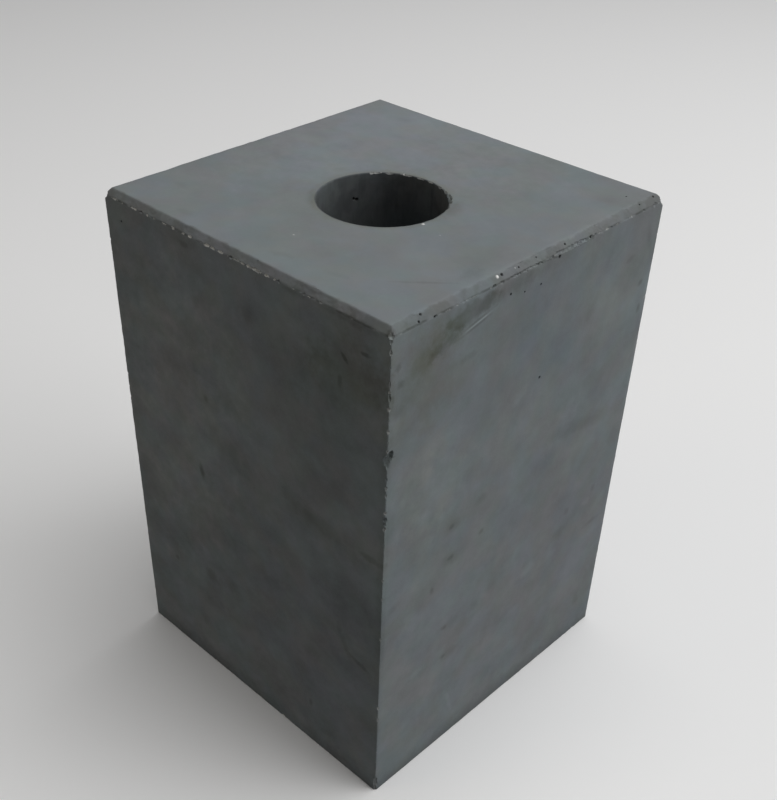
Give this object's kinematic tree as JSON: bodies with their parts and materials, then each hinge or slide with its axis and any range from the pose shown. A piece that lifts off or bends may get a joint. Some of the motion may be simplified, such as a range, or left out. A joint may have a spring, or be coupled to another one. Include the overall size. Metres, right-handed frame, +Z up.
{
  "type": "column base block",
  "caption": "Square cast concrete footing block with a chamfered top edge and a round hole down its middle that takes the foot of a post.",
  "frame": {"origin": "middle of the block's plan, on its underside", "axes": "+Z up along the block's height; +X and +Y square to its sides, so that the most broken upright corner is at +X and -Y"},
  "size_m": [0.2, 0.2, 0.295],
  "materials": {
    "concrete": "matte"
  },
  "bodies": {
    "root": {"base_block": "concrete"}
  },
  "joints": []
}
